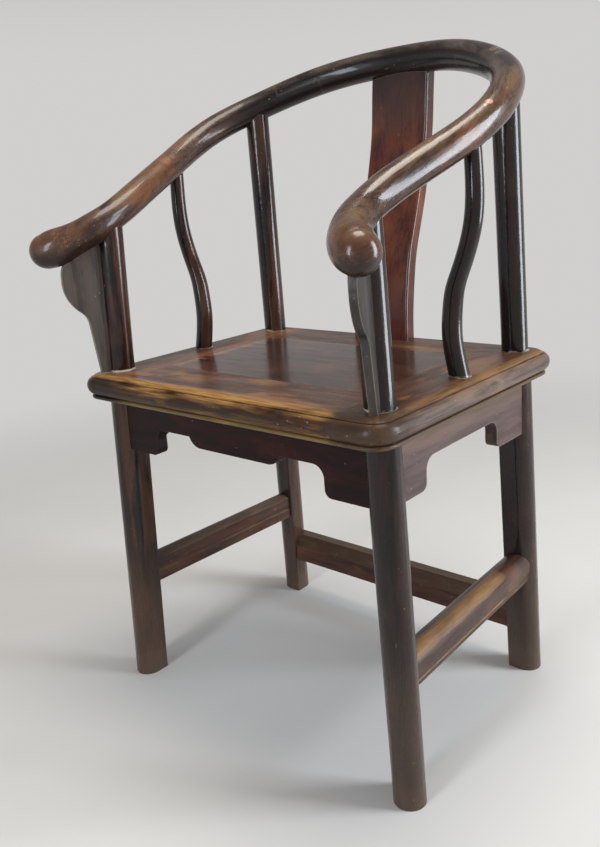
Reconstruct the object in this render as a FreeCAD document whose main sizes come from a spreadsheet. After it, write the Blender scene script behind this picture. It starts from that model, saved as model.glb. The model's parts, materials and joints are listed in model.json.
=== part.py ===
import FreeCAD, Part
import math
import os
import Sketcher
from FreeCAD import Placement, Rotation, Vector

# Horseshoe back armchair in dark lacquered wood, put together with mortises and tenons.
# Frame: origin on the floor under the middle of the chair's width and depth, +Z up, the front
# faces -Y, +X is on the right of someone who looks at the chair from the front. Outlines are
# drawn from the middle of the seat, and every piece is set forward by the same step.
# Lengths are millimetres.

SIZES = (
    # Seat frame: four mitred rails round a flush panel
    ("seat_height", 517.0),
    ("seat_half_width", 276.0),
    ("seat_half_depth", 216.5),
    ("seat_thickness", 36.0),
    ("side_rail_width", 91.0),
    ("long_rail_width", 102.0),
    # Moulded edge of the seat
    ("corner_core", 6.0),
    ("edge_depth", 28.0),
    ("edge_lap", 3.0),
    ("nose_depth", 22.0),
    ("quirk_inset", 9.5),
    ("quirk_drop", 4.2),
    ("quirk_width", 1.6),
    ("quirk_depth", 1.4),
    ("nose_drop", 17.0),
    ("nose_under_inset", 10.0),
    ("nose_under_drop", 30.5),
    ("bead_inset", 7.5),
    ("bead_height", 5.0),
    # Blind tenons in the mitres
    ("mitre_tenon_width", 20.0),
    ("mitre_tenon_thickness", 12.0),
    ("mitre_tenon_length", 58.0),
    ("mitre_tenon_inset", 6.5),
    ("mitre_tenon_lift", 6.0),
    # Seat panel and the battens that keep it flat
    ("panel_thickness", 16.0),
    ("panel_seam", 0.5),
    ("tongue_thickness", 7.0),
    ("tongue_length", 6.0),
    ("tongue_slack", 1.0),
    ("batten_width", 30.0),
    ("batten_height", 16.0),
    ("batten_tenon_width", 22.0),
    ("batten_tenon_height", 9.0),
    ("batten_tenon_length", 14.0),
    ("dovetail_height", 5.0),
    ("dovetail_neck", 12.0),
    ("dovetail_head", 18.0),
    # Legs, each in one timber with the post above the seat
    ("leg_width", 43.0),
    ("leg_arris", 2.5),
    ("post_width", 37.0),
    ("front_leg_side_inset", 41.0),
    ("front_leg_end_inset", 53.5),
    ("front_splay_side", 25.5),
    ("front_splay_end", 6.0),
    ("rear_leg_side_inset", 45.0),
    ("rear_leg_end_inset", 43.5),
    ("rear_splay_side", 13.5),
    ("rear_splay_end", 21.0),
    ("post_tenon_width", 16.0),
    ("post_tenon_length", 26.0),
    ("post_tenon_rise", 5.0),
    ("joint_gap", 0.15),
    # Crest rail: a horseshoe that falls from the back to the arm ends
    ("crest_overhang", 61.5),
    ("crest_front_overhang", 44.5),
    ("crest_back_rise", 416.2),
    ("crest_rear_post_rise", 368.7),
    ("crest_side_post_rise", 294.0),
    ("crest_front_post_rise", 218.9),
    ("crest_tip_rise", 181.6),
    ("crest_tip_inset", 5.7),
    ("crest_back_radius", 21.0),
    ("crest_arm_radius", 20.6),
    ("crest_tip_radius", 24.2),
    ("scarf_length", 70.0),
    ("wedge_height", 8.0),
    ("wedge_wide_end", 10.0),
    ("wedge_narrow_end", 7.0),
    # Side posts: slender, bent like an S
    ("side_post_along", 6.0),
    ("side_post_waist_inset", 47.0),
    ("side_post_shoulder_inset", 13.5),
    ("side_post_foot_radius", 13.5),
    ("side_post_head_radius", 10.5),
    ("side_post_tenon_radius", 6.5),
    ("side_post_tenon_length", 16.0),
    # Back splat
    ("splat_half_width", 51.0),
    ("splat_thickness", 22.0),
    ("splat_foot_inset", 48.0),
    ("splat_edge_radius", 3.0),
    ("splat_tenon_half_width", 32.0),
    ("splat_tenon_thickness", 9.0),
    ("splat_tenon_length", 12.0),
    # Wing spandrels in front of the front posts
    ("spandrel_thickness", 10.0),
    ("spandrel_foot_reach", 31.0),
    ("spandrel_neck_reach", 41.5),
    ("spandrel_wing_reach", 74.0),
    ("spandrel_head_reach", 61.0),
    ("spandrel_tongue", 4.0),
    # Aprons under the seat
    ("apron_thickness", 18.0),
    ("apron_lap", 5.0),
    ("apron_set_out", 13.0),
    ("long_apron_housing", 10.0),
    ("side_apron_housing", 16.0),
    ("long_bracket_length", 57.0),
    ("side_bracket_front_length", 51.0),
    ("side_bracket_rear_length", 64.0),
    ("apron_bracket_drop", 84.0),
    ("apron_arch_drop", 43.0),
    ("apron_centre_drop", 57.5),
    ("apron_centre_half_width", 64.0),
    # Stretchers
    ("side_stretcher_height", 182.0),
    ("side_stretcher_width", 34.0),
    ("side_stretcher_depth", 44.0),
    ("back_stretcher_height", 93.0),
    ("back_stretcher_width", 34.0),
    ("back_stretcher_depth", 48.0),
    ("stretcher_tenon_width", 12.0),
    ("stretcher_tenon_depth", 26.0),
    ("stretcher_tenon_run", 7.0),
)

# Places that follow the seat: what they follow, the step from it and which way the step goes
SEAT_TIES = (
    ("front_leg_across", "seat_half_width", "front_leg_side_inset", -1),
    ("front_leg_along", "seat_half_depth", "front_leg_end_inset", -1),
    ("rear_leg_across", "seat_half_width", "rear_leg_side_inset", -1),
    ("rear_leg_along", "seat_half_depth", "rear_leg_end_inset", -1),
    ("crest_reach", "seat_half_depth", "crest_overhang", 1),
    ("crest_front_reach", "seat_half_depth", "crest_front_overhang", 1),
    ("crest_back_height", "seat_height", "crest_back_rise", 1),
    ("crest_rear_post_height", "seat_height", "crest_rear_post_rise", 1),
    ("crest_side_post_height", "seat_height", "crest_side_post_rise", 1),
    ("crest_front_post_height", "seat_height", "crest_front_post_rise", 1),
    ("crest_tip_height", "seat_height", "crest_tip_rise", 1),
    ("crest_tip_across", "seat_half_width", "crest_tip_inset", -1),
    ("side_post_waist", "seat_half_width", "side_post_waist_inset", -1),
    ("side_post_shoulder", "seat_half_width", "side_post_shoulder_inset", -1),
    ("splat_foot_front", "seat_half_depth", "splat_foot_inset", -1),
)

# Places along the crest rail between its fixed points, as shares of the step from one to the next:
# across, along and down.
CREST_BACK_SHARES = ((0.32, 0.112, 0.073), (0.636, 0.404, 0.34))
CREST_BEND_SHARES = ((0.924, 0.416, 0.392), (1.122, 0.706, 0.698))
CREST_ARM_SHARES = ((0.756, 0.62, 0.607),)
CREST_END_SHARES = ((0.074, 0.287, 0.275),)
CREST_SWELL_SHARE = 0.25
SCARF_SHARE = 0.26
WEDGE_REACH_SHARE = 1.5
# Side post: height share from the seat to the crest rail, and the share from waist to shoulder
SIDE_POST_SHARES = (
    (0.0, 0.29), (0.095, 0.105), (0.186, 0.0), (0.28, 0.03), (0.376, 0.15), (0.47, 0.45),
    (0.56, 0.73), (0.654, 0.93), (0.75, 1.0), (0.87, 0.97), (1.0, 0.91),
)
# Back splat: height share from the seat to the crest rail, and the share from foot to head
SPLAT_SHARES = (
    (0.0, 0.0), (0.132, 0.03), (0.221, 0.09), (0.31, 0.18), (0.40, 0.335), (0.488, 0.50),
    (0.575, 0.64), (0.663, 0.765), (0.752, 0.865), (0.84, 0.915), (0.98, 1.0),
)
SPLAT_HEAD_SHARE = 0.41
# Spandrel: its turn outward as a share of a right angle, then height shares from the seat to the
# crest rail of the turns of its front edge and of the radii of its curves
SPANDREL_TURN_SHARE = 0.25
SPANDREL_NECK_SHARE = 0.335
SPANDREL_THROAT_SHARES = (0.73, 0.42)
SPANDREL_WING_SHARE = 0.63
SPANDREL_HEAD_SHARE = 0.79
SPANDREL_TOP_SHARES = (0.868, 0.965)
SPANDREL_CURVE_SHARES = (0.134, 0.25, 0.207)
# Apron bracket from its foot up to the arch: out from its inner edge, up from the arch and
# radius of the curve, as shares of the fall of the bracket; a radius below zero curves outward
BRACKET_SHARES = ((0.25, -1.0, 0.0), (0.0, -0.75, -0.25), (0.0, -0.42, 0.0), (-0.42, 0.0, 0.42))
# Step in a long apron from its arch down to its low centre: the same, from the edge of the centre
# and as shares of the step
STEP_SHARES = ((1.42, 1.0, 0.0), (0.0, 0.0, -1.51))
# Sections of the stretchers: outward as a share of the width, up as a share of the depth, and
# the radius of the curve that ends there as a share of the depth
SIDE_STRETCHER_SHARES = (
    (-0.5, -0.5, 0.0), (-0.5, -0.16, 0.0), (-0.44, -0.125, 0.0), (-0.5, -0.09, 0.0),
    (-0.5, 0.36, 0.0), (0.0, 0.5, 0.6), (0.5, 0.06, 0.46), (0.46, -0.30, 1.3),
    (0.42, -0.33, 0.0), (0.46, -0.36, 0.0), (0.44, -0.5, 0.0),
)
BACK_STRETCHER_SHARES = (
    (-0.5, -0.5, 0.0), (-0.5, 0.12, 0.0), (-0.09, 0.5, 0.0), (0.44, 0.5, 0.0),
    (0.5, 0.44, 0.08), (0.5, -0.5, 0.0),
)
BATTEN_SHARE = 0.5
MITRE_RUN_SHARE = 1.1
BEAD_CURVE_SHARE = 0.52


class Size:
    """A length that knows its value and the formula that ties it to the sheet."""

    def __init__(self, value, text):
        self.value = value
        self.text = text

    def __add__(self, other):
        return Size(self.value + other.value, "(%s + %s)" % (self.text, other.text))

    def __sub__(self, other):
        return Size(self.value - other.value, "(%s - %s)" % (self.text, other.text))

    def __mul__(self, other):
        factor = as_size(other)
        return Size(self.value * factor.value, "(%s * %s)" % (self.text, factor.text))

    def __truediv__(self, other):
        factor = as_size(other)
        return Size(self.value / factor.value, "(%s / %s)" % (self.text, factor.text))

    def __neg__(self):
        return self * -1


def as_size(number):
    return number if isinstance(number, Size) else Size(float(number), "(%r)" % float(number))


class Bend:
    """A step of an outline that reaches its corner on an arc; turn is 1 anticlockwise, -1 clockwise."""

    def __init__(self, corner, radius, turn):
        self.corner = corner
        self.radius = radius
        self.turn = turn


doc = FreeCAD.newDocument("horseshoe_back_armchair")
sheet = doc.addObject("Spreadsheet::Sheet", "sizes")
for row, (alias, value) in enumerate(SIZES, start=1):
    sheet.set("A%d" % row, alias)
    sheet.set("B%d" % row, repr(value))
    sheet.setAlias("B%d" % row, alias)
doc.recompute()

SIZE = {alias: Size(float(sheet.get(alias)), "sizes." + alias) for alias, value in SIZES}
for name, base, step, way in SEAT_TIES:
    SIZE[name] = SIZE[base] + SIZE[step] * way
SIZE["set_forward"] = (SIZE["crest_front_reach"] - SIZE["crest_reach"]) * 0.5
MM = {alias: SIZE[alias].value for alias in SIZE}
ZERO = Size(0.0, "0")
ONE = Size(1.0, "1")
SIDES = {"left": -1, "right": 1}
ENDS = {"front": -1, "rear": 1}


# Sketches, solids and joints


def new_body(name, base=(ZERO, ZERO, ZERO), turn=Rotation()):
    body = doc.addObject("PartDesign::Body", name)
    body.Label = name
    base = base[0], base[1] + SIZE["set_forward"], base[2]
    body.Placement = Placement(Vector(*(step.value for step in base)), turn)
    for axis, step in zip("xyz", base):
        body.setExpression("Placement.Base." + axis, step.text)
    return body


def new_sketch(body, role, lift):
    sketch = body.newObject("Sketcher::SketchObject", body.Name + "_outline")
    plane = next(plane for plane in body.Origin.OriginFeatures if plane.Role == role)
    sketch.AttachmentSupport = (plane, [""])
    sketch.MapMode = "FlatFace"
    sketch.AttachmentOffset = Placement(Vector(0, 0, lift.value), Rotation())
    sketch.setExpression("AttachmentOffset.Base.z", lift.text)
    return sketch


def bind(sketch, kind, places, length):
    index = sketch.addConstraint(Sketcher.Constraint(kind, *places, length.value))
    sketch.setExpression("Constraints[%d]" % index, length.text)


def arc_between(first, last, radius, turn):
    run = last - first
    rise = math.sqrt(max(radius * radius - run.Length * run.Length / 4, 0.0))
    centre = (first + last) / 2 + Vector(-run.y, run.x, 0).normalize() * rise * turn
    angles = [math.atan2(point.y - centre.y, point.x - centre.x) for point in (first, last)]
    if turn < 0:
        angles.reverse()
    return Part.ArcOfCircle(Part.Circle(centre, Vector(0, 0, 1), radius), *angles)


def draw_loop(sketch, start, steps):
    """Close an outline from start through the steps; a step is a corner or a Bend."""
    corners = [start] + [step.corner if isinstance(step, Bend) else step for step in steps]
    points = [Vector(across.value, up.value, 0) for across, up in corners]
    ends = []
    for step, first, last in zip(steps, points, points[1:]):
        if isinstance(step, Bend):
            edge = sketch.addGeometry(arc_between(first, last, step.radius.value, step.turn), False)
            bind(sketch, "Radius", (edge,), step.radius)
            ends.append((edge, 1, 2) if step.turn > 0 else (edge, 2, 1))
        else:
            edge = sketch.addGeometry(Part.LineSegment(first, last), False)
            ends.append((edge, 1, 2))
    if corners[-1] is not start:
        edge = sketch.addGeometry(Part.LineSegment(points[-1], points[0]), False)
        ends.append((edge, 1, 2))
    for place, (edge, begin, finish) in enumerate(ends):
        follower, follower_begin, _ = ends[(place + 1) % len(ends)]
        sketch.addConstraint(Sketcher.Constraint("Coincident", edge, finish, follower, follower_begin))
        across, up = corners[place]
        bind(sketch, "DistanceX", (-1, 1, edge, begin), across)
        bind(sketch, "DistanceY", (-1, 1, edge, begin), up)


def draw_circle(sketch, centre, radius):
    place = Vector(centre[0].value, centre[1].value, 0)
    edge = sketch.addGeometry(Part.Circle(place, Vector(0, 0, 1), radius.value), False)
    bind(sketch, "Radius", (edge,), radius)
    bind(sketch, "DistanceX", (-1, 1, edge, 3), centre[0])
    bind(sketch, "DistanceY", (-1, 1, edge, 3), centre[1])


def pad(body, sketch, length, lean=None, reverse=False, middle=False):
    feature = body.newObject("PartDesign::Pad", body.Name + "_pad")
    feature.Profile = sketch
    feature.setExpression("Length", length.text)
    feature.Reversed = reverse
    feature.Midplane = middle
    if lean is not None:
        feature.UseCustomVector = True
        feature.AlongSketchNormal = True
        feature.Direction = Vector(*(step.value for step in lean))
        for axis, step in zip("xyz", lean):
            feature.setExpression("Direction." + axis, step.text)
    return feature


def pad_loop(body, lift, start, steps, length, role="XY_Plane", **options):
    sketch = new_sketch(body, role, lift)
    draw_loop(sketch, start, steps)
    return pad(body, sketch, length, **options)


def pad_circle(body, lift, centre, radius, length, **options):
    sketch = new_sketch(body, "XY_Plane", lift)
    draw_circle(sketch, centre, radius)
    return pad(body, sketch, length, **options)


def pad_block(body, low, high, across, along, **options):
    """A block between two levels; across and along are pairs of limits."""
    corners = [(across[0], along[0]), (across[1], along[0]), (across[1], along[1]), (across[0], along[1])]
    return pad_loop(body, low, corners[0], corners[1:], high - low, **options)


def both_ways(length):
    return -length, length


def around(centre, width):
    return centre - width * 0.5, centre + width * 0.5


def span(near, far, sign):
    """Limits on one side of the chair, in rising order."""
    return (near, far) if sign > 0 else (-far, -near)


def fuse(name, *shapes):
    joined = doc.addObject("Part::MultiFuse", name)
    joined.Shapes = list(shapes)
    joined.Label = name
    return joined


def cut(name, base, *tools):
    result = doc.addObject("Part::Cut", name)
    result.Base = base
    result.Tool = tools[0] if len(tools) == 1 else fuse(name + "_cutters", *tools)
    result.Label = name
    return result


def common(name, base, tool):
    result = doc.addObject("Part::Common", name)
    result.Base = base
    result.Tool = tool
    result.Label = name
    return result


def shaped(name, shape):
    result = doc.addObject("Part::Feature", name)
    result.Shape = shape
    result.Placement = Placement(Vector(0, MM["set_forward"], 0), Rotation())
    result.Label = name
    return result


# Legs: foot to shoulder square on the inside and round on the outside, then a round post

seat_top = SIZE["seat_height"]
seat_under = SIZE["seat_height"] - SIZE["seat_thickness"]


def leg_axis(end, side, level):
    """Where the axis of a leg crosses a level."""
    fall = (SIZE["seat_height"] - level) / SIZE["seat_height"]
    across = SIZE[end + "_leg_across"] + SIZE[end + "_splay_side"] * fall
    along = SIZE[end + "_leg_along"] + SIZE[end + "_splay_end"] * fall
    return across * SIDES[side], along * ENDS[end]


def leg_lean(end, side):
    across = SIZE[end + "_splay_side"] / SIZE["seat_height"]
    along = SIZE[end + "_splay_end"] / SIZE["seat_height"]
    return across * -SIDES[side], along * -ENDS[end], ONE


def crest_level(end):
    return SIZE["crest_%s_post_height" % end]


def draw_leg(body, end, side, growth):
    """The part of a leg below the seat, grown by a clearance when it is used as a cutter."""
    centre = leg_axis(end, side, ZERO)
    radius = SIZE["leg_width"] * 0.5 + growth
    arris = SIZE["leg_arris"]
    out = SIDES[side]
    far = ENDS[end]
    turn = out * far

    def corner(across, along):
        return centre[0] + across * out, centre[1] + along * far

    start = corner(-radius, ZERO)
    steps = [
        corner(-radius, arris - radius),
        Bend(corner(arris - radius, -radius), arris, turn),
        corner(ZERO, -radius),
        Bend(corner(radius, ZERO), radius, turn),
        Bend(corner(ZERO, radius), radius, turn),
        Bend(start, radius, turn),
    ]
    pad_loop(body, ZERO, start, steps, seat_under, lean=leg_lean(end, side))


def draw_post(body, end, side, growth):
    """The round post, from the shoulder under the seat to the middle of the crest rail."""
    centre = leg_axis(end, side, seat_under)
    radius = SIZE["post_width"] * 0.5 + growth
    height = crest_level(end) - seat_under
    pad_circle(body, seat_under, centre, radius, height, lean=leg_lean(end, side))


timbers = {}
leg_cutters = {}
post_cutters = {}
post_tenons = {}
for end in ENDS:
    for side in SIDES:
        key = end, side
        place = "%s_%s" % key
        timbers[key] = new_body(place + "_timber")
        draw_leg(timbers[key], end, side, ZERO)
        draw_post(timbers[key], end, side, ZERO)
        leg_cutters[key] = new_body(place + "_leg_cutter")
        draw_leg(leg_cutters[key], end, side, SIZE["joint_gap"])
        post_cutters[key] = new_body(place + "_post_cutter")
        draw_post(post_cutters[key], end, side, SIZE["joint_gap"])
        post_tenons[key] = new_body(place + "_post_tenon")
        top = crest_level(end) + SIZE["post_tenon_rise"]
        bottom = crest_level(end) - SIZE["post_tenon_length"]
        across, along = leg_axis(end, side, bottom)
        width = SIZE["post_tenon_width"]
        pad_block(
            post_tenons[key], bottom, top, around(across, width), around(along, width),
            lean=leg_lean(end, side),
        )


# Crest rail: one bent line with round sections, cut into three timbers


def mm_axis(end, level):
    across, along = leg_axis(end, "right", level)
    return Vector(across.value, along.value, level.value)


def between(first, last, shares):
    step = last - first
    return first + Vector(step.x * shares[0], step.y * shares[1], step.z * shares[2])


def side_post_across(share):
    return MM["side_post_waist"] + (MM["side_post_shoulder"] - MM["side_post_waist"]) * share


def crest_stations():
    """Half of the crest rail from the middle of the back to the arm end: places and radii."""
    back = Vector(0, MM["crest_reach"] - MM["crest_back_radius"], MM["crest_back_height"])
    rear = mm_axis("rear", SIZE["crest_rear_post_height"])
    head = side_post_across(SIDE_POST_SHARES[-1][1])
    side = Vector(head, MM["side_post_along"], MM["crest_side_post_height"])
    front = mm_axis("front", SIZE["crest_front_post_height"])
    tip_along = MM["crest_tip_radius"] - MM["crest_front_reach"]
    tip = Vector(MM["crest_tip_across"], tip_along, MM["crest_tip_height"])
    back_radius, arm_radius = MM["crest_back_radius"], MM["crest_arm_radius"]
    bend_radius = (back_radius + arm_radius) / 2
    swell = arm_radius + (MM["crest_tip_radius"] - arm_radius) * CREST_SWELL_SHARE
    stations = [(back, back_radius)]
    stations += [(between(back, rear, shares), back_radius) for shares in CREST_BACK_SHARES]
    stations += [(rear, bend_radius)]
    stations += [(between(rear, side, shares), bend_radius) for shares in CREST_BEND_SHARES]
    stations += [(side, arm_radius)]
    stations += [(between(side, front, shares), arm_radius) for shares in CREST_ARM_SHARES]
    stations += [(front, arm_radius)]
    stations += [(between(front, tip, shares), swell) for shares in CREST_END_SHARES]
    stations += [(tip, MM["crest_tip_radius"])]
    return stations


class BentLine:
    """A smooth line through stations, with a radius at each."""

    def __init__(self, stations):
        self.radii = [radius for place, radius in stations]
        places = [place for place, radius in stations]
        self.marks = [0.0]
        for first, last in zip(places, places[1:]):
            self.marks.append(self.marks[-1] + (last - first).Length)
        self.curve = Part.BSplineCurve()
        self.curve.interpolate(Points=places, Parameters=self.marks)

    def place(self, mark):
        return self.curve.value(mark)

    def tangent(self, mark):
        return Vector(*self.curve.tangent(mark)[0]).normalize()

    def radius(self, mark):
        for first, last, near, far in zip(self.marks, self.marks[1:], self.radii, self.radii[1:]):
            if mark <= last:
                share = (mark - first) / (last - first)
                blend = share * share * (3 - 2 * share)
                return near + (far - near) * blend
        return self.radii[-1]

    def ring(self, mark, growth):
        """A round section that starts at the top, clear of the lap of the scarf joints."""
        ring = Part.Wire([Part.makeCircle(self.radius(mark) + growth)])
        forward = self.tangent(mark)
        aside = forward.cross(Vector(0, 0, 1)).normalize()
        ring.Placement = Placement(self.place(mark), Rotation(Vector(), aside, forward, "ZYX"))
        return ring

    def rod(self, growth):
        """A round rod along the line with a ring at each station and one halfway to the next."""
        halves = [(first + last) / 2 for first, last in zip(self.marks, self.marks[1:])]
        rings = [self.ring(mark, growth) for mark in sorted(self.marks + halves)]
        return Part.makeLoft(rings, True, False)

    def ball_end(self, mark, way, growth):
        return Part.makeSphere(
            self.radius(mark) + growth, self.place(mark), self.tangent(mark) * way, 0, 90, 360
        )


half_stations = crest_stations()
mirrored = [(Vector(-place.x, place.y, place.z), radius) for place, radius in half_stations[1:]]
crest_line = BentLine(list(reversed(half_stations)) + mirrored)


def crest_rod(growth):
    ends = [
        crest_line.ball_end(crest_line.marks[0], -1, growth),
        crest_line.ball_end(crest_line.marks[-1], 1, growth),
    ]
    return crest_line.rod(growth).fuse(ends)


crest = shaped("crest_whole", crest_rod(0.0))
crest_cutter = shaped("crest_cutter", crest_rod(MM["joint_gap"]))


def scarf_frame(side):
    """Placement with X along the rail away from the back, Z up from the lap and Y across."""
    middle = len(crest_line.marks) // 2
    before = len(CREST_BACK_SHARES)
    out = SIDES[side]
    near = crest_line.marks[middle - before * out]
    far = crest_line.marks[middle - (before + 1) * out]
    mark = near + (far - near) * SCARF_SHARE
    forward = crest_line.tangent(mark) * -out
    aside = forward.cross(Vector(0, 0, 1)).normalize()
    return Placement(crest_line.place(mark), Rotation(forward, Vector(), aside.cross(forward), "XZY"))


def block_in(frame, low, high):
    block = Part.makeBox(high.x - low.x, high.y - low.y, high.z - low.z, low)
    block.Placement = frame
    return block


def arm_region(side):
    """All that lies past the scarf on one side, with the lower half of the lap."""
    far = MM["crest_back_height"] * 2
    half_lap = MM["scarf_length"] / 2
    frame = scarf_frame(side)
    beyond = block_in(frame, Vector(half_lap, -far, -far), Vector(far, far, far))
    lap = block_in(frame, Vector(-half_lap, -far, -far), Vector(half_lap, far, 0))
    near, wide = sorted((0, far * SIDES[side]))
    own_side = block_in(Placement(), Vector(near, -far, -far), Vector(wide, far, far))
    return beyond.fuse(lap).removeSplitter().common(own_side)


def wedge_block(side):
    """A tapered wedge through both halves of the lap."""
    reach = MM["crest_back_radius"] * WEDGE_REACH_SHARE
    wide, narrow = MM["wedge_wide_end"] / 2, MM["wedge_narrow_end"] / 2
    back = -MM["wedge_height"] / 2
    corners = [
        Vector(-wide, back, reach), Vector(wide, back, reach),
        Vector(narrow, back, -reach), Vector(-narrow, back, -reach), Vector(-wide, back, reach),
    ]
    block = Part.Face(Part.makePolygon(corners)).extrude(Vector(0, MM["wedge_height"], 0))
    block.Placement = scarf_frame(side)
    return block


arm_regions = {side: shaped(side + "_arm_region", arm_region(side)) for side in SIDES}
wedge_blocks = shaped("wedge_blocks", Part.makeCompound([wedge_block(side) for side in SIDES]))


# Side posts


def side_post_line(side):
    low, high = MM["seat_height"], MM["crest_side_post_height"]
    stations = []
    for height_share, across_share in SIDE_POST_SHARES:
        across = side_post_across(across_share) * SIDES[side]
        level = low + (high - low) * height_share
        foot, head = MM["side_post_foot_radius"], MM["side_post_head_radius"]
        radius = foot + (head - foot) * height_share
        stations.append((Vector(across, MM["side_post_along"], level), radius))
    return stations


def upright_rod(stations):
    """A round rod through level rings, so that both ends are flat and level."""
    line = BentLine(stations)
    halves = [(first + last) / 2 for first, last in zip(line.marks, line.marks[1:])]
    rings = []
    for mark in sorted(line.marks + halves):
        ring = Part.Wire([Part.makeCircle(line.radius(mark))])
        ring.Placement = Placement(line.place(mark), Rotation())
        rings.append(ring)
    return Part.makeLoft(rings, True, False)


side_rods = {side: shaped(side + "_side_rod", upright_rod(side_post_line(side))) for side in SIDES}
side_tenons = {}
side_sockets = {}
for side in SIDES:
    levels = (
        ("foot", seat_top - SIZE["side_post_tenon_length"], seat_top + SIZE["side_post_tenon_length"], 0),
        ("head", crest_level("side") - SIZE["post_tenon_length"],
         crest_level("side") + SIZE["post_tenon_rise"], -1),
    )
    for label, low, high, station in levels:
        share = SIDE_POST_SHARES[station][1]
        lean_out = SIZE["side_post_shoulder"] - SIZE["side_post_waist"]
        centre = (SIZE["side_post_waist"] + lean_out * share) * SIDES[side], SIZE["side_post_along"]
        for pieces, growth in ((side_tenons, ZERO), (side_sockets, SIZE["joint_gap"])):
            kind = "tenon" if pieces is side_tenons else "socket"
            body = new_body("%s_side_post_%s_%s" % (side, label, kind))
            pad_circle(body, low, centre, SIZE["side_post_tenon_radius"] + growth, high - low + growth)
            pieces[side, label] = body


# Back splat


def splat_blank():
    """A bent board with its long edges eased."""
    low, high = MM["seat_height"], MM["crest_back_height"]
    foot = MM["splat_foot_front"]
    thickness = MM["splat_thickness"]
    head = MM["crest_reach"] - MM["crest_back_radius"] - thickness * SPLAT_HEAD_SHARE
    half = MM["splat_half_width"]
    front = [
        Vector(-half, foot + (head - foot) * back, low + (high - low) * up) for up, back in SPLAT_SHARES
    ]
    faces = []
    for shift in (0, thickness):
        curve = Part.BSplineCurve()
        curve.interpolate(Points=[point + Vector(0, shift, 0) for point in front])
        faces.append(curve.toShape())
    ends = [
        Part.makeLine(front[place], front[place] + Vector(0, thickness, 0)) for place in (0, -1)
    ]
    outline = Part.Wire(Part.__sortEdges__(faces + ends))
    board = Part.Face(outline).extrude(Vector(half * 2, 0, 0))
    long_edges = [edge for edge in board.Edges if edge.BoundBox.ZLength > (high - low) / 2]
    return board.makeFillet(MM["splat_edge_radius"], long_edges)


splat_board = shaped("splat_board", splat_blank())
foot_middle = SIZE["splat_foot_front"] + SIZE["splat_thickness"] * 0.5
head_set = SIZE["splat_thickness"] * (SPLAT_HEAD_SHARE - 0.5)
head_middle = SIZE["crest_reach"] - SIZE["crest_back_radius"] - head_set
crest_under = SIZE["crest_back_height"] - SIZE["crest_back_radius"]
splat_tenons = {}
for label, level, middle in (("foot", seat_top, foot_middle), ("head", crest_under, head_middle)):
    splat_tenons[label] = new_body("splat_%s_tenon" % label)
    pad_block(
        splat_tenons[label], level - SIZE["splat_tenon_length"], level + SIZE["splat_tenon_length"],
        both_ways(SIZE["splat_tenon_half_width"]), around(middle, SIZE["splat_tenon_thickness"]),
    )


# Wing spandrels, each in the plane of its post axis, turned a little outward from the front


def spandrel_turn(side):
    up = Vector(*(step.value for step in leg_lean("front", side))).normalize()
    turn = math.pi / 2 * SPANDREL_TURN_SHARE
    reach = Vector(math.sin(turn) * SIDES[side], -math.cos(turn), 0)
    reach = (reach - up * reach.dot(up)).normalize()
    return Rotation(reach, Vector(), up, "XZY")


def draw_spandrel(body):
    height = crest_level("front") - seat_top
    wing = SIZE["spandrel_wing_reach"]
    rear = SIZE["post_width"] * 0.5 - SIZE["spandrel_tongue"]
    below = -SIZE["spandrel_tongue"]
    neck_radius, throat_radius, head_radius = (height * share for share in SPANDREL_CURVE_SHARES)
    start = (rear, below)
    steps = [
        (SIZE["spandrel_foot_reach"], below),
        (SIZE["spandrel_neck_reach"], height * SPANDREL_NECK_SHARE),
        Bend((wing * SPANDREL_THROAT_SHARES[0], height * SPANDREL_THROAT_SHARES[1]), neck_radius, -1),
        Bend((wing, height * SPANDREL_WING_SHARE), throat_radius, 1),
        Bend((SIZE["spandrel_head_reach"], height * SPANDREL_HEAD_SHARE), head_radius, 1),
        (SIZE["spandrel_head_reach"], height * SPANDREL_TOP_SHARES[0]),
        (rear, height * SPANDREL_TOP_SHARES[1]),
    ]
    pad_loop(body, ZERO, start, steps, SIZE["spandrel_thickness"], role="XZ_Plane", middle=True)


spandrel_blanks = {}
for side in SIDES:
    base = *leg_axis("front", side, seat_top), seat_top
    spandrel_blanks[side] = new_body(side + "_spandrel_blank", base, spandrel_turn(side))
    draw_spandrel(spandrel_blanks[side])


# Aprons: boards with a cut lower edge, tongued into the seat and housed in the legs

arch_level = seat_under - SIZE["apron_arch_drop"]
bracket_fall = SIZE["apron_bracket_drop"] - SIZE["apron_arch_drop"]
step_rise = SIZE["apron_centre_drop"] - SIZE["apron_arch_drop"]


def edge_points(inner_edge, level, run, shares):
    """Points of a cut edge on the positive side: place, radius and turn of the curve to it."""
    points = []
    for out, up, curve in shares:
        place = inner_edge + run * out, level + run * up
        turn = 1 if curve > 0 else -1
        points.append((place, run * abs(curve) if curve else None, turn))
    return points


def bracket_points(inner_edge):
    return edge_points(inner_edge, arch_level, bracket_fall, BRACKET_SHARES)


def step_points():
    low = arch_level - step_rise
    return edge_points(SIZE["apron_centre_half_width"], low, step_rise, STEP_SHARES)


def to_step(corner, radius, turn):
    return Bend(corner, radius, turn) if radius is not None else corner


def apron_steps(right_end, right_points, left_end, left_points):
    """The whole edge of an apron, from its top right corner down, along and up again."""
    top = seat_under + SIZE["apron_lap"]
    foot = seat_under - SIZE["apron_bracket_drop"]
    steps = [(right_end, foot)]
    steps += [to_step(corner, radius, turn) for corner, radius, turn in right_points]
    mirrored_points = [((-corner[0], corner[1]), radius, turn) for corner, radius, turn in left_points]
    last = mirrored_points[-1]
    steps.append(last[0])
    for before, after in zip(reversed(mirrored_points[:-1]), reversed(mirrored_points)):
        steps.append(to_step(before[0], after[1], after[2]))
    steps += [(-left_end, foot), (-left_end, top)]
    return (right_end, top), steps


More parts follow.
